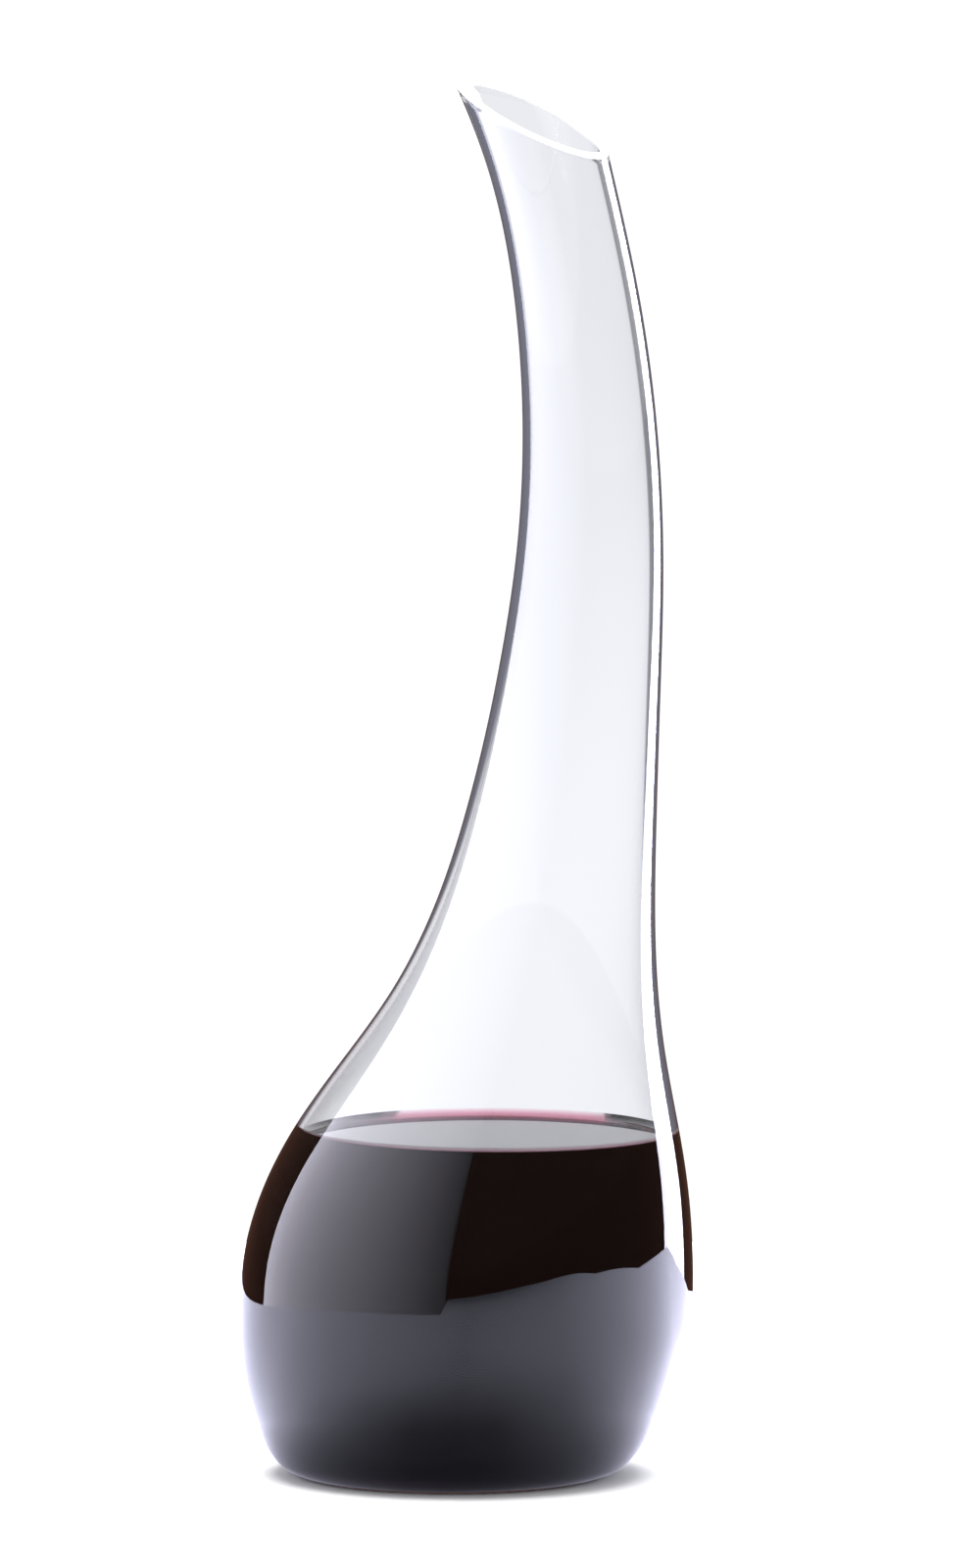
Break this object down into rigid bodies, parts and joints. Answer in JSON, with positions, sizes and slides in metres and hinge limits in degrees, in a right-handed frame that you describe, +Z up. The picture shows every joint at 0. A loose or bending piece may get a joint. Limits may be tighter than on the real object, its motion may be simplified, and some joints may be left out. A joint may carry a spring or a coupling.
{
  "type": "wine decanter",
  "caption": "Clear glass decanter with a round bowl, a tall neck that bends back and a slanted open mouth, holding red wine.",
  "frame": {"origin": "centre of the flat foot, on the surface that the decanter stands on", "axes": "+Z up; the neck leans and bends in the XZ plane, first towards +X and then back, so the tip of the mouth is on the -X side; the XZ plane is the plane of symmetry"},
  "size_m": [0.118, 0.117, 0.3621],
  "materials": {
    "clear_glass": "fire-polished",
    "red_wine": "liquid"
  },
  "bodies": {
    "root": {"glass_vessel": "clear_glass", "red_wine": "red_wine"}
  },
  "joints": []
}
